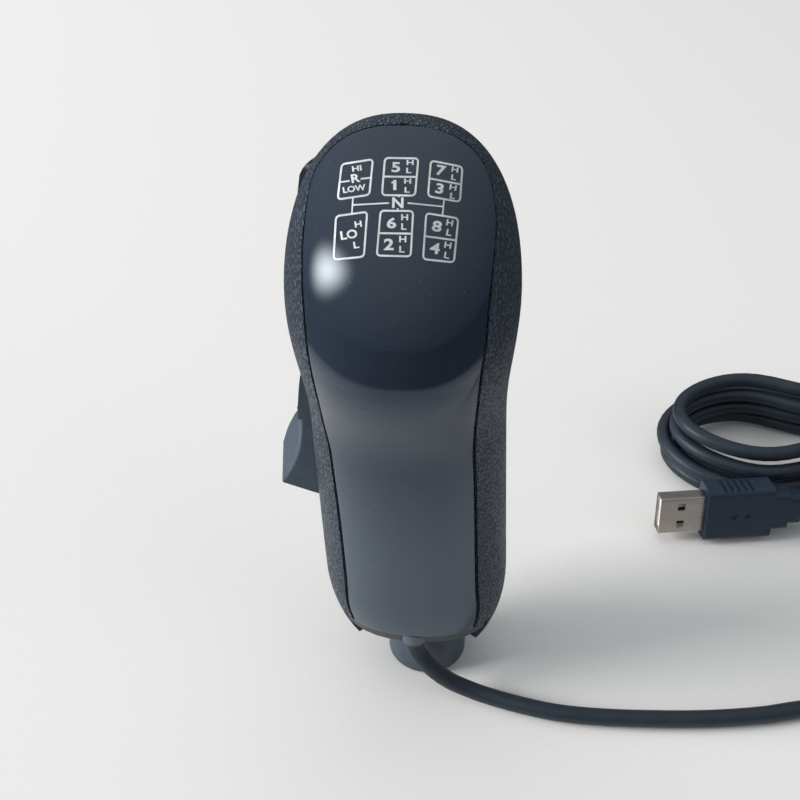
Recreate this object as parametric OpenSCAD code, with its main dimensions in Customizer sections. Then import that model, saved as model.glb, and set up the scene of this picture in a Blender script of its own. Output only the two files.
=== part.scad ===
// Shift knob of a sim racing gear shifter: grip shell, gloss rear panel, range lever, splitter rocker, USB lead
// Millimetres. Z is up, the rear panel faces -Y, the origin is the mouth of the rod socket.

/* [Grip] */
// height from the table to the crown
grip_h = 149; // [142:1:158]
// width across the head
head_w = 48; // [45:0.5:54]
// reach of the head toward the driver
head_rear = 31; // [29:0.5:36]
// reach of the head away from the driver
head_front = 30; // [28:0.5:35]
// width at the waist
waist_w = 43.2; // [42:0.4:48]
// reach of the waist toward the driver
waist_rear = 22.5; // [21.5:0.5:26]
// reach of the waist away from the driver
waist_front = 22.5; // [21.5:0.5:26]
// width low on the grip
grip_w = 45.2; // [44:0.4:50]
// reach of the lower grip toward the driver
grip_rear = 17.8; // [17.6:0.2:21]
// reach of the lower grip away from the driver
grip_front = 21; // [20:0.5:25]
// wall of the shell and of the panel
wall = 2.4; // [2:0.1:2.6]
// groove between the shell and the panel
groove = 0.6; // [0.4:0.1:1]

/* [Rod socket] */
// diameter of the shift rod bore
rod_d = 10; // [8:0.5:11]
// depth of the rod bore
rod_depth = 34; // [26:1:35]
// diameter of the collar
collar_d = 20.5; // [20:0.1:21]
// diameter of the sleeve
bush_d = 14; // [13:0.5:15]

/* [Range lever] */
// width of the flap
lever_w = 15; // [13:0.5:15.4]
// reach of the flap's lip from the middle of the housing
lever_reach = 23; // [22:0.2:24]
// pin of the flap
lever_pin_d = 3; // [2:0.2:3.6]

/* [Splitter] */
// length of the rocker along the head
button_l = 17; // [14:0.5:18]
// width of the rocker
button_w = 12; // [10:0.5:12.6]
// crown of the rocker above the head
button_rise = 1.4; // [1:0.1:2]
// pin of the rocker
button_pin_d = 2; // [1.6:0.1:2.4]

/* [Lead] */
// diameter of the lead
cord_d = 4.4; // [4:0.1:4.6]

/* [Clearances] */
// gap beside moving faces
side_gap = 0.3; // [0.25:0.05:0.35]
// running clearance of a pin, on the radius
pin_fit = 0.05; // [0.02:0.01:0.08]

/* [Hidden] */
$fn = 48;
rim_z = 15.5;
toe_z = 1;
grip_z = 36;
waist_z = grip_h - 59;
head_z = grip_h - 35;
crown_y = 10;
mid_y = 1;
plate_z = 21;
plate_t = 3;
plate_top = plate_z + plate_t;
panel_z = plate_top + 0.5;
lip_y = -9.4;
collar_r = collar_d / 2;
neck_r = bush_d / 2 + 1.5;
neck_top = rod_depth + 2;
spine_x0 = -9;
spine_x1 = 13;
spine_y0 = 2;
spine_y1 = 5;
bar_z = max(neck_top, 36) + 1;
spine_top = grip_h - 19;
boss_x = 2;
boss_z = [bar_z + 4, grip_h - 49];
board_z0 = bar_z + 11;
board_z1 = grip_h - 53;
board_x0 = -8;
board_x1 = 12;
board_t = 1.6;
board_y = -1;
cord_r = cord_d / 2;

// outline laws of the body: straight grip, swollen head, rounded crown and foot
function lim(v, lo, hi) = max(lo, min(hi, v));
function mix(a, b, s) = a + (b - a) * s;
function ease(v) = v * v * (3 - 2 * v);
function foot(z) = z < grip_z ? sqrt(1 - pow(lim((grip_z - z) / (grip_z - toe_z), 0, 0.99), 2)) : 1;
function swell(z) = ease(lim((z - waist_z) / (head_z - waist_z), 0, 1));
function taper(z) = lim((z - grip_z) / (waist_z - grip_z), 0, 1);
function girth(z, g, w, h) = mix(mix(g, w, taper(z)), h, swell(z)) * foot(z);
function cap(z, t, m) = z <= head_z ? 1 : pow(1 - pow(lim((z - head_z) / (grip_h - t - head_z), 0, 1), m), 1 / m);
function half_w(z, t) = (girth(z, grip_w / 2, waist_w / 2, head_w / 2) - t) * cap(z, t, 2.55);
function rear_y(z, t) = z <= head_z ? t - girth(z, grip_rear, waist_rear, head_rear)
    : crown_y + (t - head_rear - crown_y) * cap(z, t, 2);
function front_y(z, t) = z <= head_z ? girth(z, grip_front, waist_front, head_front) - t
    : crown_y + (head_front - t - crown_y) * cap(z, t, 2.1);
function wide_y(z, t) = z <= head_z ? mid_y * swell(z) : crown_y + (mid_y - crown_y) * cap(z, t, 2);
function lean(z) = -1.5 - 5.6 * (1 - pow(1 - lim(z / (grip_h - 9), 0, 1), 1.25));
function power(c) = sign(c) * pow(abs(c), 2 / 2.3);
function reach(z, t, s) = s > 0 ? front_y(z, t) - wide_y(z, t) : wide_y(z, t) - rear_y(z, t);
function section(z, t, n) = [for (i = [0 : n - 1]) let (c = cos(360 * i / n), s = sin(360 * i / n))
    [lean(z) + half_w(z, t) * power(c), wide_y(z, t) + reach(z, t, s) * power(s)]];
// distance from the centre line to the side of the body at height z and depth y
function side_x(y, z, t) = let (d = abs(y - wide_y(z, t)) / reach(z, t, y - wide_y(z, t)))
    half_w(z, t) * pow(max(0, 1 - pow(d, 2.3)), 1 / 2.3);
function heights(t, lo) = concat(
    [for (k = [0 : 5]) mix(lo, grip_z, k / 6)],
    [for (k = [0 : 5]) mix(grip_z, waist_z, k / 6)],
    [for (k = [0 : 7]) mix(waist_z, head_z, k / 8)],
    [for (a = [0 : 7.5 : 82.5]) head_z + (grip_h - t - head_z) * sin(a)],
    [for (a = [86, 88.5]) head_z + (grip_h - t - head_z) * sin(a)]);

// body inset by t, from height lo to the crown
module loft(t, lo, n) {
    zs = heights(t, lo);
    m = len(zs);
    polyhedron(
        points = [for (z = zs) for (p = section(z, t, n)) [p[0], p[1], z]],
        faces = concat(
            [[for (i = [0 : n - 1]) i]],
            [[for (i = [0 : n - 1]) (m - 1) * n + n - 1 - i]],
            [for (k = [0 : m - 2]) for (i = [0 : n - 1]) [k * n + i, (k + 1) * n + i, (k + 1) * n + (i + 1) % n]],
            [for (k = [0 : m - 2]) for (i = [0 : n - 1]) [k * n + i, (k + 1) * n + (i + 1) % n, k * n + (i + 1) % n]]));
}

// parting lines of the panel in side view, depth and height, left and right of the crown
part_low = [[8, -11.4], [30, -12.6], [44, -13.6], [66, -15.3], [grip_h - 65, -16.3]];
part_high = [[grip_h - 6.8, 0.6], [grip_h - 5, 3.8], [grip_h - 2.6, 6.4], [grip_h - 0.6, 7.9], [grip_h + 1, 8.7],
    [grip_h + 11, 10]];
part_left = concat(part_low, [[grip_h - 57, -16.6], [grip_h - 51, -18.6], [grip_h - 45, -21.4], [grip_h - 39, -23.8],
    [grip_h - 33, -23.9], [grip_h - 27, -22.5], [grip_h - 21, -19.8], [grip_h - 15, -14.2], [grip_h - 10, -7.2]], part_high);
part_right = concat([for (p = part_low) p - [0, 1.1]], [[grip_h - 57, -18.2], [grip_h - 51, -20.2], [grip_h - 45, -22.9],
    [grip_h - 39, -25.3], [grip_h - 33, -24.8], [grip_h - 27, -21.6], [grip_h - 21, -17.8], [grip_h - 15, -11.4],
    [grip_h - 10, -5.6]], part_high);
crown_x = lean(grip_h);
function part_line(s) = s < 0 ? part_left : part_right;
function curve(p, q, r, s, t) = 0.5 * (2 * q + (r - p) * t + (2 * p - 5 * q + 4 * r - s) * t * t
    + (3 * q - p - 3 * r + s) * t * t * t);
function smooth(P, n) = concat([for (i = [0 : len(P) - 2]) for (k = [0 : n - 1])
    curve(P[max(i - 1, 0)], P[i], P[i + 1], P[min(i + 2, len(P) - 1)], k / n)], [P[len(P) - 1]]);
function part_y(z, s) = lookup(z, part_line(s));

// space on the driver's side of the parting line, grown by d
module rear_zone(d) {
    for (s = [-1, 1]) translate([s < 0 ? crown_x - 70 : crown_x - 0.01, 0, 0]) rotate([90, 0, 90])
        linear_extrude(70.01) offset(delta = d) polygon(concat([for (p = smooth(part_line(s), 4)) [p[1], p[0]]],
            [[-90, grip_h + 11], [-90, 8]]));
    block([-15 - d, 8 + d], [-90, -6], [8, grip_h - 62]);
}

module block(x, y, z) {
    translate([x[0], y[0], z[0]]) cube([x[1] - x[0], y[1] - y[0], z[1] - z[0]]);
}

module ybar(x, z, y0, y1, r) {
    translate([x, y0, z]) rotate([-90, 0, 0]) cylinder(r = r, h = y1 - y0);
}

module zbar(x, y, z0, z1, r) {
    translate([x, y, z0]) cylinder(r = r, h = z1 - z0);
}

// rounded bar section, exact arcs
module round_rect(w, h, r) {
    square([w - 2 * r, h], center = true);
    square([w, h - 2 * r], center = true);
    for (a = [-1, 1]) for (b = [-1, 1]) translate([a * (w / 2 - r), b * (h / 2 - r)]) circle(r = r);
}

// range lever: pivot, hood and window follow the left side of the waist
lever_y = 4.5;
lever_z = 79 + 0.45 * (grip_h - 149);
left_x = lean(lever_z) - half_w(lever_z, 0);
lever_x = left_x + 13;
pin_x = lever_x - 7;
pin_z = lever_z - 2;
lever_y0 = lever_y - lever_w / 2;
lever_y1 = lever_y + lever_w / 2;
hood_y0 = lever_y0 - side_gap - 1;
hood_y1 = lever_y1 + side_gap + 1;
hood_z0 = lever_z + 4.3;
hood_z1 = lever_z + 14;
hood_top = lever_z + 19.5;
hood_lip = 0.8;
lever_pin_r = lever_pin_d / 2;
cheek_t = 2.4;
housing_z0 = lever_z - 24;

// splitter rocker: seat on the left of the head, w points out of the head
button_y = 18;
button_z = grip_h - 19;
seat_yaw = -30;
seat_pitch = -79;
seat = [lean(button_z) - side_x(button_y, button_z, 0), button_y, button_z];
button_pin_r = button_pin_d / 2;
button_axis = -6;
button_window = 0.7;

module at_seat() {
    translate(seat) rotate([0, 0, seat_yaw]) rotate([0, seat_pitch, 0]) children();
}

// shell with front bosses, side fins, window for the lever and window for the rocker
module front_boss(z) {
    ybar(boss_x, z, spine_y1, head_front, 3.4);
    for (s = [-1, 1]) hull() {
        translate([boss_x + s * 2.5, spine_y1 + 4, z]) cube([1.4, 1, 1.4], center = true);
        translate([boss_x + s * 11, head_front, z]) cube([1.4, 1, 1.4], center = true);
    }
    for (s = [-1, 1]) hull() {
        translate([boss_x, spine_y1 + 4, z + s * 2.5]) cube([1.4, 1, 1.4], center = true);
        translate([boss_x, head_front, z + s * 9]) cube([1.4, 1, 1.4], center = true);
    }
}

module lever_window() {
    hull() {
        for (y = [hood_y0 - side_gap + 1, hood_y1 + side_gap - 1]) for (z = [lever_z - 20.7, hood_top - 0.6])
            translate([left_x - 12, y, z]) rotate([0, 90, 0]) cylinder(r = 1, h = 20, $fn = 24);
    }
}

module button_window() {
    at_seat() hull() {
        for (u = [-1, 1]) for (v = [-1, 1])
            translate([u * (button_l / 2 + button_window - 1.6), v * (button_w / 2 + 0.3 - 1.6), -12])
                cylinder(r = 1.6, h = 20, $fn = 24);
    }
}

module grip_shell() {
    color("#26272a") difference() {
        union() {
            difference() {
                loft(0, rim_z, 56);
                loft(wall, rim_z - 1, 44);
            }
            intersection() {
                for (z = boss_z) front_boss(z);
                loft(wall / 2, rim_z, 44);
            }
        }
        rear_zone(0);
        block([-60, 60], [-60, lip_y], [0, panel_z - 0.2]);
        lever_window();
        button_window();
        at_seat() block([-3.4, 3.4], [-8.7, 8.7], [-12, button_axis + 2.6]);
        for (z = boss_z) translate([boss_x, spine_y1 - 1, z]) rotate([-90, 0, 0]) cylinder(r = 1.6, h = 13, $fn = 24);
    }
}

// gloss panel with eight hooks behind the shell edge, two lower bosses and two upper posts
panel_boss = [[-9.3, -10.4], [5.6, -10.6]];
hook_z = [bar_z + 5, grip_h - 89, grip_h - 71, grip_h - 45];
function edge_x(z, s) = side_x(part_y(z, s), z, 0);

module panel_hook(z, s) {
    hull() {
        translate([lean(z) + s * (edge_x(z, s) - 6), part_y(z, s) - 1, z]) cube([8, 4, 6], center = true);
        translate([lean(z) + s * (edge_x(z, s) - 1.5), part_y(z, s) + 3, z]) cube([2, 2, 5], center = true);
    }
}

module rear_panel() {
    color("#0b0c0f") difference() {
        union() {
            intersection() {
                difference() {
                    loft(0, rim_z, 56);
                    loft(wall, rim_z - 1, 44);
                }
                rear_zone(-groove);
                block([-60, 60], [-60, 60], [panel_z, 200]);
            }
            intersection() {
                union() {
                    for (z = hook_z) for (s = [-1, 1]) panel_hook(z, s);
                    for (p = panel_boss) translate([p[0], p[1], plate_top]) cylinder(r = 2.3, h = 14, $fn = 24);
                    for (p = panel_boss) block([p[0] - 1.2, p[0] + 1.2], [-19, p[1]], [plate_top + 1, plate_top + 17]);
                    for (x = [boss_x - 6, boss_x + 6]) block([x - 2, x + 2], [-head_rear, spine_y0], [grip_h - 44, grip_h - 39]);
                }
                loft(0.5, rim_z, 44);
                union() {
                    rear_zone(-groove);
                    loft(wall + 0.35, rim_z - 1, 44);
                }
            }
        }
        for (p = panel_boss) translate([p[0], p[1], plate_top - 1]) cylinder(r = 1.3, h = 9, $fn = 24);
        translate([cord_x, inner_y + 0.3, plate_top - 1]) cylinder(r = cord_r + 0.4, h = 12, $fn = 24);
    }
}

// base plate and spine in one moulding
cord_x = -2.8;
grommet_y = -13.6;
grommet_r = 3.5;
inner_y = grommet_y + 0.4;
housing_hole_z = [housing_z0 - 0.5, hood_z1 - 2.5];
bracket_hole_x = [-3, 5];
housing_hole_x = -5;
leg_x = neck_r + 2.1;
bracket_hole_z = button_z - 3.5;
board_hole = [for (x = [board_x0 + 2.5, board_x1 - 2.5]) for (z = [board_z0 + 2.5, board_z1 - 2.5]) [x, z]];

module plate_outline() {
    polygon(section(plate_z, wall + 0.3, 40));
    intersection() {
        polygon(section(plate_z + plate_t / 2, 0.6, 40));
        translate([-60, -60]) square([120, 60 + lip_y - 0.15]);
    }
}

module core_frame() {
    color("#3a3c40") difference() {
        union() {
            translate([0, 0, plate_z]) linear_extrude(plate_t) plate_outline();
            block([-14, -leg_x], [spine_y0, spine_y1], [plate_z + 1, bar_z + 8]);
            block([leg_x, spine_x1], [spine_y0, spine_y1], [plate_z + 1, bar_z + 8]);
            block([-14, spine_x1], [spine_y0, spine_y1], [bar_z, bar_z + 8]);
            block([spine_x0, spine_x1], [spine_y0, spine_y1], [bar_z, spine_top]);
            for (p = board_hole) ybar(p[0], p[1], board_y, spine_y0 + 1, 2.5);
        }
        zbar(0, 0, plate_z - 1, plate_top + 1, neck_r);
        zbar(cord_x, grommet_y, plate_z - 1, plate_top + 1, grommet_r);
        for (p = panel_boss) zbar(p[0], p[1], plate_z - 1, plate_top + 1, 1.2);
        for (z = boss_z) ybar(boss_x, z, spine_y0 - 1, spine_y1 + 1, 1.5);
        for (z = housing_hole_z) ybar(housing_hole_x, z, spine_y0 + 0.5, spine_y1 + 1, 1.25);
        for (x = bracket_hole_x) ybar(x, bracket_hole_z, spine_y0 + 0.5, spine_y1 + 1, 1.25);
        for (p = board_hole) ybar(p[0], p[1], board_y - 1, spine_y1 - 1, 1);
    }
}

// collar below the plate, neck through it
module socket_collar() {
    color("#2d2f32") difference() {
        union() {
            zbar(0, 0, 0.8, plate_z, collar_r);
            zbar(0, 0, 0, 0.8, collar_r - 0.8);
            zbar(0, 0, plate_z - 1, neck_top, neck_r);
        }
        zbar(0, 0, -1, rod_depth, bush_d / 2);
        for (z = clamp_z) ybar(0, z, 0, collar_r + 1, clamp_r);
    }
}

clamp_z = [6, 14];
clamp_r = 2;

module rod_bush() {
    color("#b9bcc0") difference() {
        zbar(0, 0, 0, rod_depth, bush_d / 2);
        zbar(0, 0, -1, rod_depth + 1, rod_d / 2);
        for (z = clamp_z) ybar(0, z, 0, collar_r + 1, clamp_r);
    }
}

module collar_clip() {
    color("#8d9196") difference() {
        zbar(0, 0, plate_top, plate_top + 1.2, neck_r + 1);
        zbar(0, 0, plate_top - 1, plate_top + 3, neck_r);
        block([-1.5, 1.5], [neck_r - 2, neck_r + 4], [plate_top - 1, plate_top + 3]);
    }
}

module clamp_screws() {
    color("#8d9196") for (z = clamp_z) difference() {
        ybar(0, z, rod_d / 2 + 0.2, collar_r - 0.4, clamp_r);
        translate([0, collar_r - 2, z]) rotate([-90, 30, 0]) cylinder(r = 1.15, h = 3, $fn = 6);
    }
}

// screw along Y with its head toward -Y, or toward +Y when d is -1
module yscrew(x, z, y, l, r, d) {
    translate([x, y, z]) rotate([d * -90, 0, 0]) difference() {
        union() {
            cylinder(r = r, h = l);
            translate([0, 0, -1.6]) cylinder(r = r * 1.9, h = 1.6);
        }
        block([-0.4, 0.4], [-r * 1.2, r * 1.2], [-2, -0.9]);
        block([-r * 1.2, r * 1.2], [-0.4, 0.4], [-2, -0.9]);
    }
}

module frame_screws() {
    color("#8d9196") for (z = boss_z) yscrew(boss_x, z, spine_y0, 13, 1.5, 1);
}

module panel_screws() {
    color("#8d9196") for (p = panel_boss) difference() {
        union() {
            zbar(p[0], p[1], plate_z, plate_top + 6, 1.2);
            zbar(p[0], p[1], plate_z - 1.4, plate_z, 1.7);
        }
        block([p[0] - 0.35, p[0] + 0.35], [p[1] - 1.3, p[1] + 1.3], [plate_z - 2, plate_z - 0.8]);
        block([p[0] - 1.3, p[0] + 1.3], [p[1] - 0.35, p[1] + 0.35], [plate_z - 2, plate_z - 0.8]);
    }
}

// flap in side view, x to the right and y up from the middle of its face
lip = [-lever_reach, -16.5];
root = [-12.8, -20.4];
scoop_r = 36;
scoop_c = [-52, 2.2];
scoop_turn = 7.6;
pin_at = [pin_x - lever_x, pin_z - lever_z];

module lever_profile() {
    translate(pin_at) circle(r = 3.6);
    polygon([[-5, 1], [-8, 2.6], [-14.8, 3.9], [-15.5, 3.4], [-16.1, 2.2], [-16.6, -2], [-18.5, -7], [-lever_reach - 1, -13], lip, root,
        [-9.5, -19.5], [-6, -8]]);
}

// whole flap between its two cheeks: bowed lip, scooped face, tail toward the switch
module range_lever() {
    color("#33353a") translate([lever_x, 0, lever_z]) difference() {
        union() {
            intersection() {
                translate([0, lever_y1, 0]) rotate([90, 0, 0]) linear_extrude(lever_w) lever_profile();
                translate([lip[0] + 40, lever_y + 3.5, -40]) cylinder(r = 40.1, h = 80, $fn = 120);
            }
            translate([0, lever_y1 - 1.5, 0]) rotate([90, 0, 0]) linear_extrude(5)
                polygon([[-7.5, -3], [1.2, -8], [1.2, -11.5], [-7.5, -12]]);
        }
        translate([scoop_c[0], lever_y0, scoop_c[1]]) rotate([0, 0, scoop_turn]) rotate([-90, 0, 0])
            translate([0, 0, -10]) cylinder(r = scoop_r, h = lever_w + 20, $fn = 120);
        translate([pin_at[0], 0, pin_at[1]]) ybar(0, 0, lever_y0 - 1, lever_y1 + 1, lever_pin_r + pin_fit);
    }
}

// fairing above the flap and the cheeks that hold its pin
module range_housing() {
    color("#2f3135") difference() {
        union() {
            translate([lever_x, hood_y1, lever_z]) rotate([90, 0, 0]) linear_extrude(hood_y1 - hood_y0)
                polygon([[-15.9 + hood_lip, 4.3], [-15.9, 4.3], [-15.8, 8], [-15.4, 12], [-14.9, 16], [-14.2, 19.5],
                    [-8, 19.5], [-8, 7], [-15.9 + hood_lip, 7]]);
            for (y = [hood_y0, hood_y1 - 1]) block([lever_x - 10, lever_x + 4.8], [y, y + 1], [housing_z0 + 4.5, hood_z1]);
            block([lever_x - 8, lever_x + 4.8], [hood_y0 - 1.4, hood_y0 + 1], [housing_z0, hood_z1]);
            block([lever_x - 3.6, lever_x + 4.8], [hood_y1 - 1, hood_y1 + 1.4], [housing_z0, hood_z1]);
            block([lever_x - 8, lever_x + 4.8], [hood_y0 - 1.4, hood_y1], [hood_z1 - 2, hood_z1]);
            block([lever_x - 3.6, lever_x + 4.8], [hood_y0 - 1.4, hood_y1 + 1.4], [housing_z0, housing_z0 + 2]);
            block([lever_x + 3, housing_hole_x + 2.6], [spine_y1, spine_y1 + 3], [hood_z1 - 5, hood_z1]);
            block([lever_x + 3, housing_hole_x + 2.6], [spine_y1, spine_y1 + 3], [housing_z0 - 3, housing_z0 + 2]);
        }
        ybar(pin_x, pin_z, hood_y0 - 2, hood_y1 + 2, lever_pin_r);
        for (z = housing_hole_z) ybar(housing_hole_x, z, spine_y1 - 1, spine_y1 + 4, 1.25);
    }
}

module range_pivot() {
    color("#a9adb2") ybar(pin_x, pin_z, hood_y0, hood_y1, lever_pin_r);
}

module range_switch() {
    color("#4a4d52") {
        block([lever_x + 2.8, lever_x + 9.4], [spine_y1, spine_y1 + 5.8], [lever_z - 17, lever_z - 4.6]);
        translate([lever_x + 1.8, spine_y1 + 3, lever_z - 10]) rotate([0, 90, 0]) cylinder(r = 0.9, h = 2);
    }
}

module housing_screws() {
    color("#8d9196") for (z = housing_hole_z) yscrew(housing_hole_x, z, spine_y1 + 3, 5, 1.25, -1);
}

// rocker: crowned cap, hub and two feet
module splitter_button() {
    color("#33353a") at_seat() difference() {
        union() {
            intersection() {
                translate([0, 0, -3.4]) linear_extrude(9) round_rect(button_l, button_w, 2);
                translate([0, 0, button_rise - 20]) rotate([90, 0, 0])
                    cylinder(r = 20, h = button_w + 2, center = true, $fn = 96);
                translate([0, 0, button_rise - 30]) rotate([0, 90, 0])
                    cylinder(r = 30, h = button_l + 2, center = true, $fn = 96);
            }
            block([-2.6, 2.6], [-button_w / 2 + 0.6, button_w / 2 - 0.6], [button_axis - 2, -3]);
            for (u = [-4.4, 4.4]) block([u - 1, u + 1], [-2, 2], [-8, -3]);
        }
        translate([0, 0, button_axis]) rotate([90, 0, 0])
            cylinder(r = button_pin_r + pin_fit, h = button_w + 2, center = true);
    }
}

// carrier of the rocker with an arm on the spine
module splitter_bracket() {
    color("#3a3c40") difference() {
        union() {
            at_seat() {
                block([-7, 7], [-8.2, 8.2], [-16, -14]);
                for (v = [-1, 1]) block([-3, 3], [v * 7.3 - 0.9, v * 7.3 + 0.9], [-15, button_axis + 0.2]);
                for (v = [-1, 1]) translate([0, v * 7.3, button_axis]) rotate([90, 0, 0])
                    cylinder(r = 2.2, h = 1.8, center = true);
            }
            block([seat[0] + 9, 8], [spine_y1, spine_y1 + 3], [bracket_hole_z - 4.5, bracket_hole_z + 4.5]);
        }
        at_seat() translate([0, 0, button_axis]) rotate([90, 0, 0])
            cylinder(r = button_pin_r, h = 20, center = true);
        at_seat() block([-10, 10], [-6.4, 6.4], [-14, 4]);
        for (x = bracket_hole_x) ybar(x, bracket_hole_z, spine_y1 - 1, spine_y1 + 4, 1.25);
    }
}

module splitter_pivot() {
    color("#a9adb2") at_seat() translate([0, 0, button_axis]) rotate([90, 0, 0])
        cylinder(r = button_pin_r, h = 16.4, center = true);
}

module splitter_switch() {
    color("#4a4d52") at_seat() {
        block([-6, 6], [-4, 4], [-14, -9.6]);
        for (u = [-4.4, 4.4]) translate([u, 0, -10]) cylinder(r = 1, h = 1);
    }
}

module bracket_screws() {
    color("#8d9196") for (x = bracket_hole_x) yscrew(x, bracket_hole_z, spine_y1 + 3, 5, 1.25, -1);
}

// controller board on the spine
module circuit_board() {
    color("#1d5a3a") difference() {
        block([board_x0, board_x1], [board_y - board_t, board_y], [board_z0, board_z1]);
        for (p = board_hole) ybar(p[0], p[1], board_y - 3, board_y + 1, 1);
    }
}

board_face = board_y - board_t;

module controller_chip() {
    color("#1a1b1d") {
        block([-2.5, 6.5], [board_face - 1.2, board_face], [board_z1 - 19.5, board_z1 - 10.5]);
        for (k = [0 : 6]) for (s = [0, 1]) block([s * 10.4 - 3.9, s * 10.4 - 2.5], [board_face - 0.5, board_face],
            [board_z1 - 18.7 + k * 1.2, board_z1 - 18.2 + k * 1.2]);
    }
}

lead_in = [-1, board_face - 3.2, board_z0 + 6];

module board_connector() {
    color("#d8d4c8") block([lead_in[0] - 4, lead_in[0] + 5], [board_face - 6, board_face], [lead_in[2], lead_in[2] + 6]);
}

module board_components() {
    color("#7d7364") {
        block([-7, -3], [board_face - 1.8, board_face], [board_z1 - 9.5, board_z1 - 6.5]);
        for (k = [0 : 3]) block([k * 2 - 1.4, k * 2 - 0.4], [board_face - 0.7, board_face], [board_z1 - 9, board_z1 - 7]);
        for (k = [0 : 2]) block([-6.6, -5.2], [board_face - 0.8, board_face],
            [board_z1 - 19.4 + k * 3.6, board_z1 - 17.4 + k * 3.6]);
        translate([8.8, board_face, board_z1 - 7.2]) rotate([90, 0, 0]) cylinder(r = 2, h = 4.5);
    }
}

module board_screws() {
    color("#8d9196") for (p = board_hole) yscrew(p[0], p[1], board_face, 5, 1, 1);
}

// lead: rings swept along a smooth line through a few points
function unit(v) = v / norm(v);
function square_to(r, t) = unit(r - (r * t) * t);
function heading(P) = let (n = len(P)) [for (i = [0 : n - 1]) unit(P[min(i + 1, n - 1)] - P[max(i - 1, 0)])];
function carried(T, r0) = [for (i = 0, r = square_to(r0, T[0]); i < len(T); i = i + 1,
    r = square_to(r, T[min(i, len(T) - 1)])) r];

module tube(P, r, n, up) {
    m = len(P);
    T = heading(P);
    N = carried(T, up);
    polyhedron(
        points = [for (j = [0 : m - 1]) let (s = square_to(N[j], T[j]), b = cross(T[j], s))
            for (i = [0 : n - 1]) P[j] + r * (cos(360 * i / n) * s + sin(360 * i / n) * b)],
        faces = concat(
            [[for (i = [0 : n - 1]) i]],
            [[for (i = [0 : n - 1]) (m - 1) * n + n - 1 - i]],
            [for (j = [0 : m - 2]) for (i = [0 : n - 1]) [j * n + i, (j + 1) * n + i, (j + 1) * n + (i + 1) % n]],
            [for (j = [0 : m - 2]) for (i = [0 : n - 1]) [j * n + i, (j + 1) * n + (i + 1) % n, j * n + (i + 1) % n]]));
}

// thin leads from the two switches round the left edge of the spine to the board
board_mid = board_y - board_t / 2;
lead_x = spine_x0 - 1.6;
range_path = [[lead_x + 0.8, spine_y1 + 3, lever_z - 17.45], [lead_x + 0.2, spine_y1 + 2.6, lever_z - 18.6],
    [lead_x, spine_y0 + 1.5, lever_z - 19.5], [lead_x, board_y + 0.6, lever_z - 19.5],
    [board_x0 - 1.2, board_mid, lever_z - 19.5], [board_x0 - 0.2, board_mid, lever_z - 19.5]];
lead_top = max(hood_z1 + 3, board_z1);
split_path = [seat + [9, -5.2, -8.6], seat + [9.6, -6.2, -13], [-13.5, spine_y1 + 3, lead_top + 14],
    [lead_x - 0.4, spine_y0 + 1.6, lead_top + 8], [lead_x + 0.2, board_y + 1.2, lead_top + 5],
    [board_x0 + 0.6, board_mid, lead_top + 2.4], [board_x0 + 1.6, board_mid, board_z1 + 0.45]];

module switch_leads() {
    color("#7a2f2c") {
        tube(smooth(range_path, 3), 0.6, 6, [1, 0, 0.3]);
        tube(smooth(split_path, 3), 0.6, 6, [1, 0, 0.3]);
    }
}

grommet_z = plate_z - 0.5;

module cable_grommet() {
    color("#55585d") zbar(cord_x, grommet_y, grommet_z, plate_top, grommet_r);
}

inner_path = [[cord_x, inner_y, plate_top + 0.1], [cord_x, inner_y, plate_top + 4.4], [cord_x, inner_y + 0.6, plate_top + 10],
    [-2.4, -11.6, lead_in[2] - 13], [-1.4, -8, lead_in[2] - 8], lead_in - [0, 0, 3.6], lead_in - [0, 0, 0.3]];

module inner_lead() {
    color("#1c1d1f") tube(smooth(inner_path, 2), min(cord_r, 2.1), 8, [1, 0, 0]);
}

// hank: five turns in four layers, drawn in at the waist by the tie
hank_c = [121.5, 79.5];
hank_step = [cord_d + 1.2, cord_d + 2];
hank_half = [50, 26.5];
hank_pinch = 10;
layer_h = cord_d + 0.6;
tie_t = 0.8;
hank_z = tie_t + cord_r;
hank_from = -56;
function stage_t(q) = q - 1.375 * floor(q / 1.375);
function stage_n(q) = floor(q / 1.375 + 0.0001);
function wound(q) = let (s = min(stage_n(q), 3), f = min((q - 1.375 * s) / 0.875, 1))
    s % 2 == 0 ? 0.875 * f : 0.875 * (1 - f);
function layer(q) = let (s = min(stage_n(q), 3), f = lim((q - 1.375 * s - 0.875) / 0.5, 0, 1))
    s == 3 ? 3 : s + f;
function hank_point(q) = let (a = hank_from - 360 * q, k = wound(q), x = (hank_half[0] - hank_step[0] * k) * cos(a))
    [hank_c[0] + x,
     hank_c[1] + (hank_half[1] - hank_step[1] * k - hank_pinch * exp(-pow(x / 18, 2))) * sin(a),
     hank_z + layer_h * layer(q)];
hank_n = 120;
hank_rings = [for (j = [0 : hank_n]) hank_point(j / 24)];
hank_in = unit([hank_rings[1][0] - hank_rings[0][0], hank_rings[1][1] - hank_rings[0][1], 0]);
hank_out = unit([hank_rings[hank_n][0] - hank_rings[hank_n - 1][0],
    hank_rings[hank_n][1] - hank_rings[hank_n - 1][1], 0]);
hank_start = hank_rings[0] - cord_d * hank_in;
hank_end = hank_rings[hank_n] + cord_d * hank_out;
hank_path = concat([hank_start], hank_rings, [hank_end]);
hank_gap = min([for (i = [0 : 2 : hank_n]) for (j = [i + 12 : hank_n]) norm(hank_rings[i] - hank_rings[j])]) - cord_d;
echo(hank_gap = hank_gap);

module cable_hank() {
    color("#1c1d1f") tube(hank_path, cord_r, 6, [0, 0, 1]);
}

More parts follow.
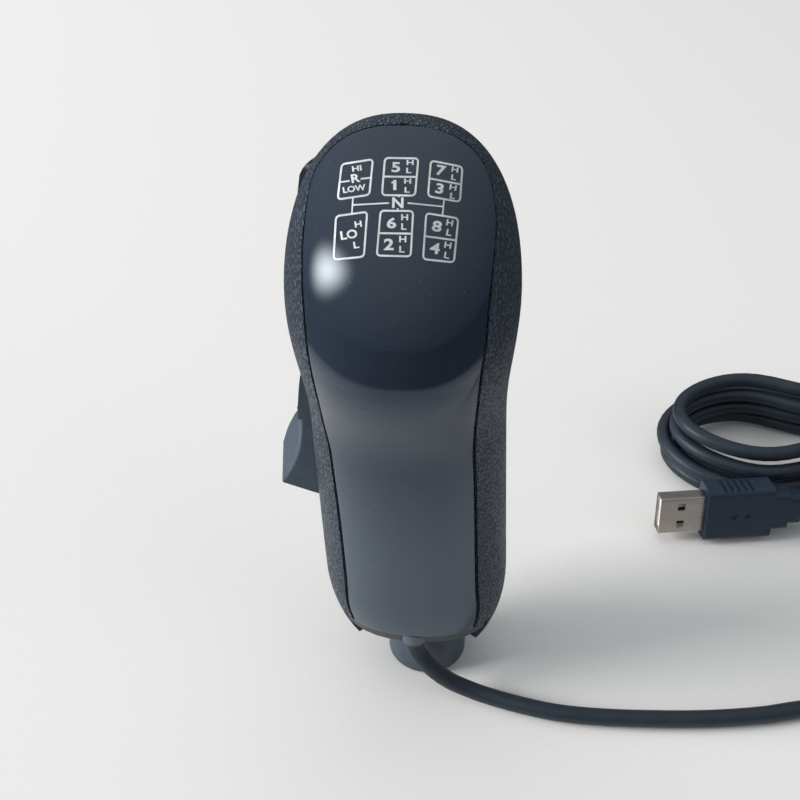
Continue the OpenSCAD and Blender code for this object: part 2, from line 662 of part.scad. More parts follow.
cable_route = concat([[cord_x, grommet_y, grommet_z - 0.25], [cord_x, grommet_y, grommet_z - 2.6], [-1.8, -14.2, 14.6],
    [0.4, -14.9, 11.4], [3.4, -15.5, 8.2], [7, -15.9, 5.4], [11.5, -16.4, 3.3], [17, -17.6, cord_r + 0.1],
    [26, -19.8, cord_r], [36, -21.4, cord_r],
    [50, -21.7, cord_r], [70, -20.6, cord_r], [86, -18.4, cord_r], [97, -15.8, cord_r], [114, -12.5, cord_r],
    [132, -9, cord_r], [152, -3, cord_r], [170, 7, cord_r], [182, 21, cord_r], [185, 36, cord_r],
    [180, 49, cord_r], hank_start - 16 * hank_in - [0, 2.4, 0.5]],
    [hank_start - cord_d * hank_in, hank_start - 0.3 * hank_in]);

module usb_cable() {
    color("#1c1d1f") tube(smooth(cable_route, 3), cord_r, 8, [0, 1, 0]);
}

module cable_tie() {
    top = hank_z + 3 * layer_h + cord_r + 0.1;
    half = cord_r + 0.2 + max([for (i = [0 : hank_n - 1]) for (x = [hank_c[0] - 2.6, hank_c[0] + 2.6])
        let (p = hank_rings[i], q = hank_rings[i + 1])
        (p[0] - x) * (q[0] - x) > 0 ? 0 : abs(mix(p[1], q[1], (x - p[0]) / (q[0] - p[0])) - hank_c[1])]);
    color("#202124") {
        translate([hank_c[0] - 2.5, hank_c[1], 0]) rotate([90, 0, 90]) linear_extrude(5) difference() {
            translate([0, (top + tie_t) / 2]) round_rect(2 * half + 2 * tie_t, top + tie_t, 1.6);
            translate([0, (top + tie_t) / 2]) round_rect(2 * half, top - tie_t, 0.8);
        }
        block([hank_c[0] - 3.2, hank_c[0] + 3.2], [hank_c[1] - 3, hank_c[1] + 3], [top + tie_t, top + tie_t + 3.4]);
    }
}

// plug: local x runs from the mouth to the lead
plug_yaw = 8.6;
plug_roll = 12.7;
plug_tip = [65.9, 45];
shell_l = 13.5;
body_l = 19.8;
body_h = 16.9;
body_t = 8.7;
body_r = 1.8;
neck_l = 13.5;
plug_z = (body_h / 2 - body_r) * cos(plug_roll) + (body_t / 2 - body_r) * sin(plug_roll) + body_r + 0.02;
plug_dir = [cos(plug_yaw), sin(plug_yaw), 0];
plug_end = [plug_tip[0], plug_tip[1], plug_z] + (shell_l + body_l + neck_l) * plug_dir;

module at_plug() {
    translate([plug_tip[0], plug_tip[1], plug_z]) rotate([0, 0, plug_yaw]) rotate([-plug_roll, 0, 0]) children();
}

module along(x, l) {
    translate([x, 0, 0]) rotate([90, 0, 90]) linear_extrude(l) children();
}

module usb_overmould() {
    color("#1a1b1d") at_plug() difference() {
        union() {
            along(shell_l, body_l) round_rect(body_t, body_h, body_r);
            along(shell_l + body_l - 0.5, 5.5) round_rect(8, 12.3, 1.8);
            along(shell_l + body_l + 4, 5) round_rect(7.2, 9.6, 1.8);
            translate([shell_l + body_l + 8, 0, 0]) rotate([0, 90, 0]) cylinder(r = 3.3, h = neck_l - 8);
        }
        for (k = [0 : 4]) for (s = [-1, 1])
            translate([shell_l + 5 + k * 2, 0, s * body_h / 2]) cube([0.9, 12, 0.9], center = true);
        for (k = [0 : 1]) translate([shell_l + 8 + k * 4, -body_t / 2, 0]) rotate([90, 0, 0])
            cylinder(r = 1, h = 0.6, center = true);
    }
}

module usb_shell() {
    color("#c4c7cb") at_plug() difference() {
        along(0, shell_l) difference() {
            round_rect(4.5, 12, 0.5);
            round_rect(3.9, 11.4, 0.3);
        }
        for (s = [-1, 1]) block([5.2, 7.4], [-4, 4], [s * 2.9 - 1.1, s * 2.9 + 1.1]);
    }
}

module usb_tongue() {
    color("#e6e6e2") at_plug() block([1, shell_l], [0.05, 1.95], [-5.6, 5.6]);
}

module usb_contacts() {
    color("#c9a54a") at_plug() for (z = [-3.5, -1.1, 1.1, 3.5]) block([1.6, 9.5], [-0.2, 0.05], [z - 0.5, z + 0.5]);
}

plug_route = [hank_end + 0.5 * hank_out, hank_end + cord_d * hank_out, [134.5, 58.3, 17], [127.5, 56.8, 13.6], [121.5, 54.4, 10.2],
    plug_end + cord_d * plug_dir, plug_end + 0.25 * plug_dir];

module plug_lead() {
    color("#1c1d1f") tube(smooth(plug_route, 3), cord_r, 8, [0, 0, 1]);
}

grip_shell();
rear_panel();
core_frame();
socket_collar();
rod_bush();
collar_clip();
clamp_screws();
frame_screws();
panel_screws();
range_lever();
range_housing();
range_pivot();
range_switch();
housing_screws();
splitter_button();
splitter_bracket();
splitter_pivot();
splitter_switch();
bracket_screws();
circuit_board();
controller_chip();
board_connector();
board_components();
board_screws();
switch_leads();
cable_grommet();
inner_lead();
usb_cable();
cable_hank();
cable_tie();
plug_lead();
usb_overmould();
usb_shell();
usb_tongue();
usb_contacts();
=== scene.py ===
# Shift knob of a sim racing gear shifter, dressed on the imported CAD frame.
# The sections follow the object as it is put together, from the socket out to the plug.
# Lengths are millimetres in the formulas and become metres when a mesh is made.
import bmesh
import bpy
import numpy as np
from mathutils import Matrix, Vector


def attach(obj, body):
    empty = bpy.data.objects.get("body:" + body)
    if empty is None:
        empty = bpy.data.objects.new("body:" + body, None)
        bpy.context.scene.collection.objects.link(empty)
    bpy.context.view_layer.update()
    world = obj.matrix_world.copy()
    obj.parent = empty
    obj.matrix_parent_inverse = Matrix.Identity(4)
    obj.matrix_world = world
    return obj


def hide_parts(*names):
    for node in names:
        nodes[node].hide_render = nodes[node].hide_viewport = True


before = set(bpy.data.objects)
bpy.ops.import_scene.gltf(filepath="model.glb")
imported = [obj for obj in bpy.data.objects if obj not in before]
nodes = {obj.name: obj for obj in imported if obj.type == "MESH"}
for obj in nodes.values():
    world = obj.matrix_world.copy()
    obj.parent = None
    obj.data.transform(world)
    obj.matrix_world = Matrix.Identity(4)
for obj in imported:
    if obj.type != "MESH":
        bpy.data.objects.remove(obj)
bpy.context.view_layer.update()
scene = bpy.context.scene
MM = 0.001


# Studio
# A sheet of white card, lit by a soft lamp far to the left and weaker ones overhead and to the right.
# To gloss the card looks dark beyond an arm's length, as the unlit room around it did.
def new_object(name, vertices, faces):
    """A mesh object at the origin from an array of points in millimetres and a list of faces."""
    mesh = bpy.data.meshes.new(name)
    mesh.from_pydata(np.asarray(vertices, float).reshape(-1, 3) * MM, [], faces)
    mesh.update()
    obj = bpy.data.objects.new(name, mesh)
    scene.collection.objects.link(obj)
    return obj


def tree_maker(tree):
    """Empties a node tree and gives two functions for it: add(kind, inputs, settings) makes a node,
    and join(a, output, b, input) links two."""
    tree.nodes.clear()

    def add(kind, inputs=None, **settings):
        node = tree.nodes.new("ShaderNode" + kind)
        for key, value in settings.items():
            setattr(node, key, value)
        for key, value in (inputs or {}).items():
            node.inputs[key].default_value = value
        return node

    def join(source, output, target, entry):
        tree.links.new(source.outputs[output], target.inputs[entry])

    return add, join


def node_maker(name):
    """A new material and the two functions for its tree."""
    material = bpy.data.materials.new(name)
    material.use_nodes = True
    return (material, *tree_maker(material.node_tree))


def ramp(node, *stops):
    """Gives a colour ramp its stops in rising order, each a position and a colour."""
    elements = node.color_ramp.elements
    for element, (position, colour) in ((elements[0], stops[0]), (elements[1], stops[-1])):
        element.position = position
        element.color = (*colour, 1)
    for position, colour in stops[1:-1]:
        elements.new(position).color = (*colour, 1)
    return node


FLOOR = 3000
FLOOR_Z = -0.1
SQUARE = ((-1, -1), (1, -1), (1, 1), (-1, 1))
WALL_TONE = (0.79, 0.80, 0.795, 1)
floor = new_object("floor", [[FLOOR * x, FLOOR * y, FLOOR_Z] for x, y in SQUARE], [[0, 1, 2, 3]])
card, add, join = node_maker("card")
coord = add("TexCoord")
path = add("LightPath")
narrow = add("VectorMath", {1: (0.6, 1.0, 1.0)}, operation="MULTIPLY")
length = add("VectorMath", operation="LENGTH")
far = ramp(add("ValToRGB"), (0.085, (0, 0, 0)), (0.120, (0.35, 0.35, 0.35)), (0.142, (1, 1, 1)))
gloss = add("Math", operation="MULTIPLY")
paper = add("TexNoise", {"Scale": 900})
paper_tone = ramp(add("ValToRGB"), (0, (0.82, 0.82, 0.812)), (1, (0.86, 0.86, 0.852)))
pale = add("BsdfDiffuse")
dark = add("BsdfDiffuse", {"Color": (0.02, 0.024, 0.03, 1)})
blend = add("MixShader")
join(coord, "Object", narrow, 0)
join(narrow, "Vector", length, 0)
join(length, "Value", far, "Fac")
join(far, "Color", gloss, 0)
join(path, "Is Glossy Ray", gloss, 1)
join(coord, "Object", paper, "Vector")
join(paper, "Fac", paper_tone, "Fac")
join(paper_tone, "Color", pale, "Color")
join(gloss, "Value", blend, "Fac")
join(pale, "BSDF", blend, 1)
join(dark, "BSDF", blend, 2)

# Far off, the camera sees the card run into the wall, so that no edge of the floor shows.
reach = add("VectorMath", operation="LENGTH")
sweep = add("MapRange", {"From Min": 0.45, "From Max": 1.0}, interpolation_type="SMOOTHSTEP")
seen_far = add("Math", operation="MULTIPLY")
wall = add("Emission", {"Color": WALL_TONE})
behind = add("MixShader")
out = add("OutputMaterial")
join(coord, "Object", reach, 0)
join(reach, "Value", sweep, "Value")
join(sweep, "Result", seen_far, 0)
join(path, "Is Camera Ray", seen_far, 1)
join(seen_far, "Value", behind, "Fac")
join(blend, "Shader", behind, 1)
join(wall, "Emission", behind, 2)
join(behind, "Shader", out, "Surface")
floor.data.materials.append(card)

# The room is dim at eye level and brightens toward the ceiling; the camera itself sees a pale wall.
world = bpy.data.worlds.new("room")
scene.world = world
world.use_nodes = True
add, join = tree_maker(world.node_tree)
ray = add("LightPath")
ahead = add("TexCoord")
split = add("SeparateXYZ")
ceiling = ramp(add("ValToRGB"), (0, (0.10, 0.125, 0.16)), (1, (0.66, 0.675, 0.695)))
fill = add("MapRange", {"To Min": 1.0, "To Max": 0.60})
unlit = add("Background")
backdrop = add("Background", {"Color": WALL_TONE})
seen = add("MixShader")
sky = add("OutputWorld")
join(ahead, "Generated", split, 0)
join(split, "Z", ceiling, "Fac")
join(ceiling, "Color", unlit, "Color")
join(ray, "Is Diffuse Ray", fill, "Value")
join(fill, "Result", unlit, "Strength")
join(ray, "Is Camera Ray", seen, "Fac")
join(unlit, 0, seen, 1)
join(backdrop, 0, seen, 2)
join(seen, 0, sky, "Surface")


def area_lamp(name, place, target, size, power, colour):
    """A square soft lamp at place that looks at target, both in metres, and isn't mirrored in gloss."""
    lamp = bpy.data.lights.new(name, "AREA")
    lamp.size = size
    lamp.energy = power
    lamp.color = colour
    obj = bpy.data.objects.new(name, lamp)
    obj.location = place
    obj.rotation_euler = (Vector(target) - Vector(place)).to_track_quat("-Z", "Y").to_euler()
    obj.visible_glossy = False
    scene.collection.objects.link(obj)


area_lamp("overhead", (-0.35, 0.45, 1.5), (0.0, 0.05, 0), 1.5, 6.2, (1.0, 0.99, 0.97))
area_lamp("sidelight", (-3.40, -0.48, 1.28), (0.0, 0.02, 0.05), 1.6, 186, (1.0, 0.985, 0.96))
area_lamp("far_wall", (1.70, -0.70, 0.90), (0.0, 0.0, 0.08), 1.4, 4.5, (0.94, 0.97, 1.0))

# The window is a glowing panel that fades to its edges; only gloss sees it, as one soft gleam.
WINDOW_AT = Vector((-2.70, -0.86, 1.34))
WINDOW_AIM = Vector((-0.02, -0.02, 0.13))
WINDOW_HALF = (2.20, 1.06)
facing = (WINDOW_AIM - WINDOW_AT).normalized()
side = facing.cross(Vector((0, 0, 1))).normalized()
rise = side.cross(facing)
slant = (side + rise).normalized()
climb = (rise - side).normalized()
corners = [WINDOW_AT + slant * WINDOW_HALF[0] * a + climb * WINDOW_HALF[1] * b for a, b in SQUARE]
window = new_object("window", np.array([list(c) for c in corners]) / MM, [[0, 1, 2, 3]])
fade_uv = window.data.uv_layers.new(name="fade")
fade_uv.data.foreach_set("uv", np.array(SQUARE, float).ravel())
glow, add, join = node_maker("window_glow")
coord = add("TexCoord")
length = add("VectorMath", operation="LENGTH")
fall = add("MapRange", {"From Min": 1.0, "From Max": 0.0}, interpolation_type="SMOOTHSTEP")
soft = add("Math", {1: 1.6}, operation="POWER")
shine = add("Emission", {"Color": (1.0, 0.99, 0.98, 1), "Strength": 18})
clear = add("BsdfTransparent")
edge = add("MixShader")
out = add("OutputMaterial")
join(coord, "UV", length, 0)
join(length, "Value", fall, "Value")
join(fall, "Result", soft, 0)
join(soft, "Value", edge, "Fac")
join(clear, "BSDF", edge, 1)
join(shine, "Emission", edge, 2)
join(edge, "Shader", out, "Surface")
window.data.materials.append(glow)
window.visible_camera = False
window.visible_diffuse = False
window.visible_shadow = False

# The camera stands behind the knob and looks down on it, a little from the right.
LENS = 49.5
SENSOR = 36
camera_data = bpy.data.cameras.new("camera")
camera_data.lens = LENS
camera_data.sensor_width = SENSOR
camera_data.clip_start = 0.01
camera = bpy.data.objects.new("camera", camera_data)
camera.location = (0.00558, -0.1856, 0.24562)
camera.rotation_euler = Vector((-0.05304, 0.75856, -0.64945)).to_track_quat("-Z", "Y").to_euler()
scene.collection.objects.link(camera)
scene.camera = camera
scene.view_settings.view_transform = "Standard"


# Rod socket
# A turned alloy sleeve takes the shift rod; a moulded collar with two clamp screws holds it.
# A spring clip locks the collar under the frame's plate.
COOL = (0.80, 0.92, 1.0, 1)


def grained(name, colour, rough, grain, relief, metal=0.0, stretch=(1, 1, 1)):
    """A moulded or machined finish from two noises of the Object coordinates.
    The fine one, grain per metre, lifts the surface by relief metres; the broad one, sixteen times
    wider, shifts the colour by about a fifth and the roughness by 0.06. All but metals mirror cool."""
    material, add, join = node_maker(name)
    coord = add("TexCoord")
    scale = add("Mapping", {"Scale": stretch})
    fine = add("TexNoise", {"Scale": grain, "Detail": 4})
    broad = add("TexNoise", {"Scale": grain / 16, "Detail": 3})
    darker = [c * 0.82 for c in colour]
    paler = [min(1, c * 1.18) for c in colour]
    tone = ramp(add("ValToRGB"), (0.3, darker), (0.7, paler))
    wear = add("MapRange", {"From Min": 0.3, "From Max": 0.7})
    wear.inputs["To Min"].default_value = max(0.04, rough - 0.06)
    wear.inputs["To Max"].default_value = min(0.95, rough + 0.06)
    bump = add("Bump", {"Strength": 1.0, "Distance": relief})
    shader = add("BsdfPrincipled", {"Metallic": metal})
    if not metal:
        shader.inputs["Specular Tint"].default_value = COOL
    out = add("OutputMaterial")
    join(coord, "Object", scale, "Vector")
    join(scale, "Vector", fine, "Vector")
    join(scale, "Vector", broad, "Vector")
    join(broad, "Fac", tone, "Fac")
    join(tone, "Color", shader, "Base Color")
    join(broad, "Fac", wear, "Value")
    join(wear, "Result", shader, "Roughness")
    join(fine, "Fac", bump, "Height")
    join(bump, "Normal", shader, "Normal")
    join(shader, "BSDF", out, "Surface")
    return material


def paint(node, material):
    """A CAD node keeps its mesh and takes a material."""
    nodes[node].data.materials.clear()
    nodes[node].data.materials.append(material)


def cut(obj, cutter, way="DIFFERENCE"):
    """Takes the cutter's volume out of obj's mesh for good, or joins it on, and removes the cutter."""
    tool = obj.modifiers.new("cut", "BOOLEAN")
    tool.operation = way
    tool.solver = "EXACT"
    tool.object = cutter
    bpy.context.view_layer.update()
    shown = obj.evaluated_get(bpy.context.evaluated_depsgraph_get())
    mesh = bpy.data.meshes.new_from_object(shown)
    obj.modifiers.clear()
    obj.data = mesh
    bpy.data.objects.remove(cutter)


def box(name, low, high):
    """A plain box between two corners."""
    corner = np.array([[(i >> 2) & 1, (i >> 1) & 1, i & 1] for i in range(8)])
    points = np.where(corner == 1, np.asarray(high, float), np.asarray(low, float))
    faces = [[0, 1, 3, 2], [4, 6, 7, 5], [0, 4, 5, 1], [2, 3, 7, 6], [0, 2, 6, 4], [1, 5, 7, 3]]
    return new_object(name, points, faces)


def smooth(obj):
    """Shades all faces of a mesh as one curved surface."""
    obj.data.polygons.foreach_set("use_smooth", np.ones(len(obj.data.polygons), bool))


def soften(obj, width, segments, sharp, clamp=True):
    """Rounds the edges of a mesh that turn by more than sharp degrees to width millimetres."""
    edge = obj.modifiers.new("edge", "BEVEL")
    edge.width = width * MM
    edge.segments = segments
    edge.limit_method = "ANGLE"
    edge.angle_limit = np.radians(sharp)
    edge.use_clamp_overlap = clamp
    shade = obj.modifiers.new("shade", "WEIGHTED_NORMAL")
    shade.keep_sharp = False


FINE_MERGE = 0.002
COARSE_MERGE = 0.4
TRUE_EDGE = 35


def soft_copy(node, name, body, material, width, segments=3, merge=FINE_MERGE, extra=(), trim=()):
    """A merged copy of a CAD node with its edges rounded to width millimetres.
    The extra solids are joined on and the trim is cut away. Points closer than merge and flat
    neighbours are then joined, so that only true edges get a bevel. After a coarse merge the
    bevels may overlap."""
    obj = bpy.data.objects.new(name, nodes[node].data.copy())
    scene.collection.objects.link(obj)
    for solid in extra:
        cut(obj, solid, "UNION")
    for solid in trim:
        cut(obj, solid)
    work = bmesh.new()
    work.from_mesh(obj.data)
    bmesh.ops.remove_doubles(work, verts=work.verts, dist=merge * MM)
    bmesh.ops.dissolve_limit(work, angle_limit=np.radians(1.0), verts=work.verts, edges=work.edges)
    work.to_mesh(obj.data)
    work.free()
    smooth(obj)
    obj.data.materials.clear()
    obj.data.materials.append(material)
    soften(obj, width, segments, TRUE_EDGE, merge < COARSE_MERGE)
    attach(obj, body)
    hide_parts(node)
    return obj


satin = grained("satin_plastic", (0.048, 0.064, 0.088), 0.50, 5200, 0.00002)
alloy = grained("turned_alloy", (0.66, 0.67, 0.68), 0.28, 2600, 0.000012, 1.0, (0.2, 0.2, 3))
steel = grained("plain_steel", (0.52, 0.53, 0.54), 0.32, 3200, 0.00001, 1.0)
soft_copy("socket_collar", "collar", "knob", satin, 0.4)
paint("rod_bush", alloy)
paint("collar_clip", steel)
paint("clamp_screws", steel)

# Core frame and board
# A moulded spine carries the socket, the board and both switch mounts; screws fix it to the shell.
# The board is green lacquered glass cloth with a chip, a lead socket and small parts.
moulded = grained("moulded_inner", (0.060, 0.062, 0.066), 0.55, 3600, 0.00003)
switch_case = grained("switch_case", (0.070, 0.070, 0.075), 0.48, 5200, 0.000015)
cream = grained("cream_nylon", (0.75, 0.72, 0.64), 0.45, 4200, 0.000015)
tan = grained("fired_tan", (0.36, 0.30, 0.22), 0.50, 6800, 0.00001)
lacquer = grained("green_lacquer", (0.02, 0.12, 0.06), 0.30, 1500, 0.00003, 0.0, (1, 1, 0.25))
paint("core_frame", moulded)
paint("circuit_board", lacquer)
paint("controller_chip", switch_case)
paint("board_connector", cream)
paint("board_components", tan)
for node in ("board_screws", "frame_screws", "panel_screws"):
    paint(node, steel)

# Switch mounts
# Moulded brackets hold a pivot pin and a small snap switch behind each moving piece.
# They are screwed to the shell and the frame, inside the grip.
paint("splitter_bracket", moulded)
for node in ("range_switch", "splitter_switch"):
    paint(node, switch_case)
for node in ("range_pivot", "splitter_pivot", "housing_screws", "bracket_screws"):
    paint(node, steel)
wire_jacket = grained("wire_jacket", (0.30, 0.045, 0.035), 0.46, 4200, 0.000015)
paint("switch_leads", wire_jacket)

# Range lever
# A satin flap with a scooped face for one finger, hung on a pin in its housing.
# The housing's rolled hood closes the slot above it and shows as a strip of the same plastic.
HOOD_LOW = (-29.82, 83.3)
HOOD_HIGH = (-23.9, 87)
HOOD_END_WALL = 1
hood_ends = [
    box("hood_end", [HOOD_LOW[0], y, HOOD_LOW[1]], [HOOD_HIGH[0], y + HOOD_END_WALL, HOOD_HIGH[1]])
    for y in (-4.3, 12.3)
]
soft_copy("range_housing", "range_hood", "knob", satin, 0.5, extra=hood_ends)

# The flap's far corner is turned on a quarter circle by a prism that is cut away.
BEND_AT = [-33.6, 8.7]
BEND_R = 3.3
CLEAR = [-60, 30]
CLEAR_Z = (40, 110)
arc = np.linspace(0, 0.5 * np.pi, 13)[:, None]
bend = BEND_AT + BEND_R * np.hstack([-np.cos(arc), np.sin(arc)])
outline = np.concatenate([bend, [[BEND_AT[0], CLEAR[1]], CLEAR, [CLEAR[0], BEND_AT[1]]]])
count = len(outline)
walls = [[i, (i + 1) % count, (i + 1) % count + count, i + count] for i in range(count)]
prism = np.concatenate([np.hstack([outline, np.full((count, 1), z)]) for z in CLEAR_Z])
ends = [list(range(count))[::-1], list(range(count, 2 * count))]
corner = new_object("lip_corner", prism, walls + ends)
flap = soft_copy(
    "range_lever", "range_lever_flap", "range_lever", satin, 0.55,
    merge=COARSE_MERGE, trim=[corner],
)


def points_of(mesh):
    """A mesh's points, one row each."""
    points = np.zeros(len(mesh.vertices) * 3)
    mesh.vertices.foreach_get("co", points)
    return points.reshape(-1, 3)


# Its rim swells by up to a millimetre toward the far end and halfway up.
RIM_SWELL = 1.0
RIM_X = -29
rim = points_of(flap.data) / MM
toward_end = np.clip((rim[:, 1] - 3) / 9, 0, 1) ** 2
halfway = np.sin(np.pi * np.clip((rim[:, 2] - 60.5) / 13, 0, 1))
rim[:, 0] -= RIM_SWELL * toward_end * halfway * (rim[:, 0] < RIM_X)
flap.data.vertices.foreach_set("co", (rim * MM).ravel())

# Splitter rocker
# A black rocker on the left of the head, worked by the thumb; it tips a few degrees on its pin.
thumb_black = grained("thumb_black", (0.013, 0.017, 0.024), 0.38, 5200, 0.00002)
soft_copy("splitter_button", "splitter_rocker", "splitter_button", thumb_black, 0.7)


# Grip shell
# The hand fills this moulded shell: straight grip, swollen head, pebbled like leather all over.
# Its rear edge follows the parting line, and it has windows for the flap and for the rocker.
FOOT = 36
FOOT_EASE = 6
GRIP_SPAN = 54
NECK = 83
NECK_RISE = 40
CROWN = 114
CROWN_RISE = 35
TOP = CROWN + CROWN_RISE
CLOSE = 10
POWER = 2.3


def body_law(z, inset):
    """Half width, rear, front, widest depth and lean of the body at heights z, less an inset.
    The girth runs straight up the grip, eases out to the head by a fifth-power step and closes as
    a power curve over the crown; below the grip it turns in on a quarter ellipse. The lean to the
    left grows by a power curve up to the head."""
    turn = np.sqrt(1 - np.clip((FOOT - z) / (FOOT - 1), 0, 0.99) ** 2)
    along = (z - FOOT + np.sqrt((z - FOOT) ** 2 + FOOT_EASE**2)) / (2 * GRIP_SPAN)
    ease = np.clip((z - NECK) / NECK_RISE, 0, 1)
    swell = ease**3 * (ease * (6 * ease - 15) + 10)
    up = np.clip((z - CROWN) / (CROWN_RISE - inset), 0, 1)

    def girth(grip, waist, head):
        straight = grip + (waist - grip) * along
        return (straight + (head - straight) * swell) * turn

    def cap(power):
        return (1 - up**power) ** (1 / power)

    half = (girth(22.6, 21.6, 24.0) - inset) * cap(2.55)
    rear = CLOSE + (inset - girth(17.8, 22.5, 31.0) - CLOSE) * cap(2.0)
    front = CLOSE + (girth(21.0, 22.5, 30.0) - inset - CLOSE) * cap(2.1)
    wide = CLOSE + (swell - CLOSE) * cap(2.0)
    lean = -1.5 - 5.6 * (1 - (1 - np.clip(z / 140, 0, 1)) ** 1.25)
    return half, rear, front, wide, lean


def body_point(z, angle, inset):
    """The point of the body's skin at height z and angle: a superellipse of power 2.3,
    with its own reach to the front and to the rear of the widest depth."""
    half, rear, front, wide, lean = body_law(z, inset)
    c = np.cos(angle)
    s = np.sin(angle)
    reach = np.where(s > 0, front - wide, wide - rear)
    x = lean + half * np.sign(c) * np.abs(c) ** (2 / POWER)
    y = wide + reach * np.sign(s) * np.abs(s) ** (2 / POWER)
    return np.stack([x, y, np.broadcast_to(z, x.shape)], -1)


def smooth_through(points, t):
    """Catmull-Rom curve through the points, at parameters t that run from 0 to the last index."""
    p = np.asarray(points, float)
    p = np.concatenate([2 * p[:1] - p[1:2], p, 2 * p[-1:] - p[-2:-1]])
    i = np.clip(np.floor(t).astype(int), 0, len(p) - 4)
    f = (t - i)[:, None]
    a, b, c, d = p[i], p[i + 1], p[i + 2], p[i + 3]
    return b + 0.5 * f * (c - a + f * (2 * a - 5 * b + 4 * c - d + f * (3 * (b - c) + d - a)))


PART_LEFT = [
    [8, -11.6], [30, -13.0], [44, -14.0], [66, -15.5], [84, -16.4], [92, -16.9], [98, -18.5],
    [104, -20.8], [110, -22.7], [116, -23.5], [122, -22.4], [128, -19.4], [134, -14.2], [139, -7.4],
    [142.2, 0.6], [144, 3.8], [146.4, 6.4], [148.4, 7.9], [150, 8.7], [160, 10],
]
PART_RIGHT = [
    [8, -12.2], [30, -13.4], [44, -14.3], [66, -15.7], [84, -17.0], [92, -18.1], [98, -19.7],
    [104, -21.6], [110, -23.2], [116, -23.8], [122, -22.3], [128, -19.3], [134, -13.6], [139, -5.6],
    [142.2, 0.6], [144, 3.8], [146.4, 6.4], [148.4, 7.9], [150, 8.7], [160, 10],
]


def part_depth(points, z):
    """Depth y of a parting line at heights z, read off the smooth curve through its points."""
    curve = smooth_through(points, np.linspace(0, len(points) - 1, 1200))
    return np.interp(z, curve[:, 0], curve[:, 1])


def part_angle(z, depth, inset):
    """Angle at which the skin reaches a depth: the superellipse turned round for its sine."""
    half, rear, front, wide, lean = body_law(z, inset)
    gap = depth - wide
    reach = np.where(gap > 0, front - wide, wide - rear)
    share = np.clip(np.abs(gap) / np.maximum(reach, 1e-6), 0, 1)
    return np.sign(gap) * np.arcsin(share ** (POWER / 2))


def slab(name, outer, inner, material):
    """A closed plate between two grids of points of one size: the outer grid, the inner grid
    turned round, and a strip along each of the four borders. Coincident points are merged,
    and where two borders meet the walls left between them are taken out."""
    rows, cols = outer.shape[:2]
    grid = np.arange(rows * cols).reshape(rows, cols)
    quads = np.stack([grid[:-1, :-1], grid[:-1, 1:], grid[1:, 1:], grid[1:, :-1]], -1).reshape(-1, 4)
    ring = np.concatenate([grid[0, :-1], grid[:-1, -1], grid[-1, :0:-1], grid[:0:-1, 0]])
    after = np.roll(ring, -1)
    count = rows * cols
    border = np.stack([after, ring, ring + count, after + count], -1)
    faces = np.concatenate([quads, quads[:, ::-1] + count, border])
    points = np.concatenate([outer.reshape(-1, 3), inner.reshape(-1, 3)])
    obj = new_object(name, points, faces.tolist())
    work = bmesh.new()
    work.from_mesh(obj.data)
    bmesh.ops.remove_doubles(work, verts=work.verts, dist=0.00001)
    walls = [f for f in work.faces if sum(len(e.link_faces) > 2 for e in f.edges) > 1]
    bmesh.ops.delete(work, geom=walls, context="FACES")
    bmesh.ops.recalc_face_normals(work, faces=work.faces)
    work.to_mesh(obj.data)
    work.free()
    smooth(obj)
    obj.data.materials.append(material)
    return obj


GRIP_ROWS = 90
CROWN_ROWS = 64


def body_rows(low, top):
    """Heights of the grid's rows: even on the grip, then by the sine of an angle over the crown."""
    straight = np.linspace(low, CROWN, GRIP_ROWS)
    last = np.arcsin((top - CROWN) / CROWN_RISE)
    crown = CROWN + CROWN_RISE * np.sin(np.linspace(0, last, CROWN_ROWS))
    return np.concatenate([straight, crown[1:]])


def plate(name, rows, start, finish, columns, insets, material):
    """A plate of the body between two insets, with rows of even columns from the start angles to
    the finish angles. Over the crown the rows sink with the inset, as the skin does."""
    angle = start + np.linspace(0, 1, columns)[None, :] * (finish - start)
    over = np.maximum(rows - CROWN, 0) / CROWN_RISE
    outer, inner = [body_point(rows - over * inset, angle, inset) for inset in insets]
    return slab(name, outer, inner, material)


